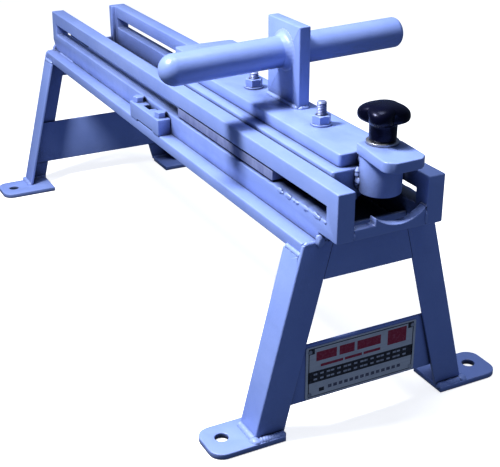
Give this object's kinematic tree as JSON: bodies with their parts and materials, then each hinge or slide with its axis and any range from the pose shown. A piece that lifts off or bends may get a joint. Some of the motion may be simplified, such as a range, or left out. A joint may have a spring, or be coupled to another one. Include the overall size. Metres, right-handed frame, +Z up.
{
  "type": "manual tube bender",
  "caption": "Bench-mounted hand tool: a carriage with a cross handle and a knob clamp slides along two slotted rails on four splayed angle legs.",
  "frame": {"origin": "centre of the footprint, on the bench surface under the feet", "axes": "+X along the rails towards the clamp end, +Y across the rails to the far side, +Z up"},
  "size_m": [0.6419, 0.2584, 0.2774],
  "materials": {
    "lavender_paint": "satin",
    "zinc_steel": "satin",
    "bare_steel": "satin",
    "knob_black": "gloss",
    "name_plate": "satin"
  },
  "bodies": {
    "frame": {"base_plate": "lavender_paint", "cross_plate_lower_front": "lavender_paint", "cross_plate_lower_rear": "lavender_paint", "cross_plate_upper_front": "lavender_paint", "cross_plate_upper_rear": "lavender_paint", "end_plate_notched": "lavender_paint", "foot_front_far": "lavender_paint", "foot_front_near": "lavender_paint", "foot_rear_far": "lavender_paint", "foot_rear_near": "lavender_paint", "leg_front_far": "lavender_paint", "leg_front_near": "lavender_paint", "leg_rear_far": "lavender_paint", "leg_rear_near": "lavender_paint", "name_plate": "name_plate", "name_plate_rivet_1": "zinc_steel", "name_plate_rivet_2": "zinc_steel", "name_plate_rivet_3": "zinc_steel", "name_plate_rivet_4": "zinc_steel", "side_rail_far": "lavender_paint", "side_rail_near": "lavender_paint", "stop_block": "lavender_paint", "stop_bolt_1": "lavender_paint", "stop_bolt_2": "lavender_paint", "stop_pin": "lavender_paint"},
    "carriage": {"carriage_rear_block": "lavender_paint", "carriage_slab": "lavender_paint", "carriage_tongue_far": "bare_steel", "carriage_tongue_near": "bare_steel", "carriage_top_plate": "lavender_paint", "handle_bar": "lavender_paint", "handle_post": "lavender_paint", "handle_weld_collar": "lavender_paint", "plate_nut_1": "lavender_paint", "plate_nut_2": "lavender_paint", "plate_stud_1": "zinc_steel", "plate_stud_2": "zinc_steel", "plate_washer_1": "lavender_paint", "plate_washer_2": "lavender_paint", "clamp_boss": "lavender_paint"},
    "clamp_arm": {"clamp_plate": "lavender_paint"},
    "knob_carrier": {"clamp_washer": "zinc_steel"},
    "knob": {"knob": "knob_black", "knob_stud": "zinc_steel"}
  },
  "joints": [
    {"name": "carriage_slide", "type": "slide", "parent": "frame", "child": "carriage", "axis": [1, 0, 0], "range_m": [-0.302, 0.074]},
    {"name": "clamp_swing", "type": "hinge", "parent": "carriage", "child": "clamp_arm", "pos_m": [0.28145, 0.005, 0.218], "axis": [0, 0, 1], "continuous": true},
    {"name": "knob_lift", "type": "slide", "parent": "carriage", "child": "knob_carrier", "axis": [0, 0, 1], "range_m": [0, 0.0075]},
    {"name": "knob_spin", "type": "hinge", "parent": "knob_carrier", "child": "knob", "pos_m": [0.28145, 0.005, 0.23], "axis": [0, 0, 1], "range_deg": [0, 2160]}
  ],
  "couplings": [
    {"joint": "knob_lift", "follows": "knob_spin", "m_per_rad": 0.0001989}
  ]
}
